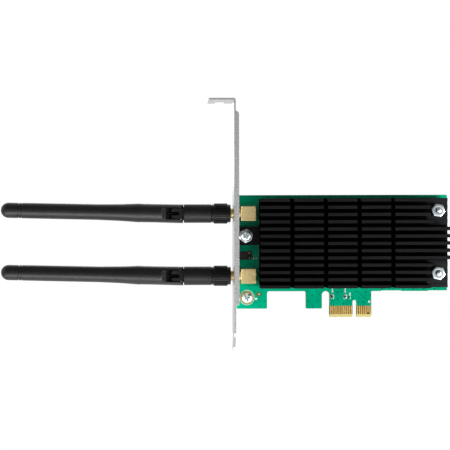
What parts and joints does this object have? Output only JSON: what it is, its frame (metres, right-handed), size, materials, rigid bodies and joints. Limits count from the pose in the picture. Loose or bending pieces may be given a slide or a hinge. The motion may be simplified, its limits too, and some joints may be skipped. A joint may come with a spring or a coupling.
{
  "type": "pcie wifi card",
  "caption": "Wireless network expansion card: finned heatsink on a green board, slot bracket, edge connector, and folding screw-on stick antennas.",
  "frame": {"origin": "middle of the key notch on the bottom edge of the edge connector, at the board's mid-thickness", "axes": "+X along the board away from the bracket and antennas, +Z away from the slot, the component side with the heatsink faces -Y"},
  "size_m": [0.2159, 0.0184, 0.12],
  "materials": {
    "board_laminate": "green solder mask over glass laminate, satin",
    "contact_gold": "gold plating, bright",
    "chip_black": "moulded package, matte",
    "thermal_pad": "soft filled silicone, matte",
    "crystal_can": "plated can",
    "chip_ceramic": "fired ceramic with tinned ends",
    "block_black": "moulded, matte",
    "anodised_black": "black anodised, satin",
    "spacer_nylon": "natural nylon",
    "zinc_screw": "bright zinc plate",
    "bracket_steel": "nickel-plated sheet, fine grain",
    "solder": "smooth solder",
    "jack_gold": "gold-plated brass, softly matte",
    "ptfe_white": "turned white insulator",
    "pin_gold": "gold plating, bright",
    "plug_brass": "gold-plated brass, turned",
    "spring_bronze": "spring bronze wire",
    "grip_plastic": "moulded black plastic, satin",
    "antenna_plastic": "moulded black plastic, fine grain",
    "cap_plastic": "moulded black plastic, fine grain",
    "cable_jacket": "extruded cable jacket",
    "sleeve_brass": "plain brass tube",
    "wire_copper": "bare copper wire"
  },
  "bodies": {
    "card": {"pcb": "board_laminate", "contacts_front": "contact_gold", "contacts_back": "contact_gold", "screw_land": "contact_gold", "spare_pad": "contact_gold", "wifi_chip": "chip_black", "frontend_chips": "chip_black", "thermal_pads": "thermal_pad", "crystal": "crystal_can", "chip_capacitors": "chip_ceramic", "edge_block": "block_black", "edge_block_terminals": "contact_gold", "heatsink": "anodised_black", "heatsink_spacers": "spacer_nylon", "heatsink_screws": "zinc_screw", "heatsink_nuts": "zinc_screw", "ear_screw": "zinc_screw", "bracket_screw": "zinc_screw", "bracket": "bracket_steel", "jack_solder": "solder", "jack_body_upper": "jack_gold", "jack_insulator_upper": "ptfe_white", "jack_pin_upper": "pin_gold", "jack_body_lower": "jack_gold", "jack_insulator_lower": "ptfe_white", "jack_pin_lower": "pin_gold"},
    "plug_upper": {"plug_ferrule_upper": "plug_brass", "plug_insulator_upper": "ptfe_white", "plug_socket_upper": "pin_gold", "snap_ring_upper": "spring_bronze"},
    "nut_upper": {"coupling_nut_upper": "plug_brass", "nut_grip_upper": "grip_plastic"},
    "base_upper": {"knuckle_upper": "antenna_plastic", "cable_inner_upper": "cable_jacket"},
    "aerial_upper": {"blade_upper": "antenna_plastic", "tip_cap_upper": "cap_plastic", "cable_outer_upper": "cable_jacket", "radiator_sleeve_upper": "sleeve_brass", "radiator_wire_upper": "wire_copper"},
    "plug_lower": {"plug_ferrule_lower": "plug_brass", "plug_insulator_lower": "ptfe_white", "plug_socket_lower": "pin_gold", "snap_ring_lower": "spring_bronze"},
    "nut_lower": {"coupling_nut_lower": "plug_brass", "nut_grip_lower": "grip_plastic"},
    "base_lower": {"knuckle_lower": "antenna_plastic", "cable_inner_lower": "cable_jacket"},
    "aerial_lower": {"blade_lower": "antenna_plastic", "tip_cap_lower": "cap_plastic", "cable_outer_lower": "cable_jacket", "radiator_sleeve_lower": "sleeve_brass", "radiator_wire_lower": "wire_copper"}
  },
  "joints": [
    {"name": "plug_withdraw_upper", "type": "slide", "parent": "card", "child": "plug_upper", "axis": [-1, 0, 0], "range_m": [0, 0.006]},
    {"name": "nut_turn_upper", "type": "hinge", "parent": "plug_upper", "child": "nut_upper", "pos_m": [-0.065, -0.00409, 0.05045], "axis": [-1, 0, 0], "range_deg": [0, 3060]},
    {"name": "base_swivel_upper", "type": "hinge", "parent": "plug_upper", "child": "base_upper", "pos_m": [-0.0735, -0.00409, 0.05045], "axis": [1, 0, 0], "range_deg": [-180, 180]},
    {"name": "aerial_fold_upper", "type": "hinge", "parent": "base_upper", "child": "aerial_upper", "pos_m": [-0.08739, -0.00409, 0.05045], "axis": [0, 0, 1], "range_deg": [0, 90]},
    {"name": "plug_withdraw_lower", "type": "slide", "parent": "card", "child": "plug_lower", "axis": [-1, 0, 0], "range_m": [0, 0.006]},
    {"name": "nut_turn_lower", "type": "hinge", "parent": "plug_lower", "child": "nut_lower", "pos_m": [-0.065, -0.00409, 0.02045], "axis": [-1, 0, 0], "range_deg": [0, 3060]},
    {"name": "base_swivel_lower", "type": "hinge", "parent": "plug_lower", "child": "base_lower", "pos_m": [-0.0735, -0.00409, 0.02045], "axis": [1, 0, 0], "range_deg": [-180, 180]},
    {"name": "aerial_fold_lower", "type": "hinge", "parent": "base_lower", "child": "aerial_lower", "pos_m": [-0.08739, -0.00409, 0.02045], "axis": [0, 0, 1], "range_deg": [0, 90]}
  ],
  "couplings": [
    {"joint": "nut_turn_upper", "follows": "plug_withdraw_upper", "rad_per_m": 8904.7},
    {"joint": "nut_turn_lower", "follows": "plug_withdraw_lower", "rad_per_m": 8904.7}
  ]
}
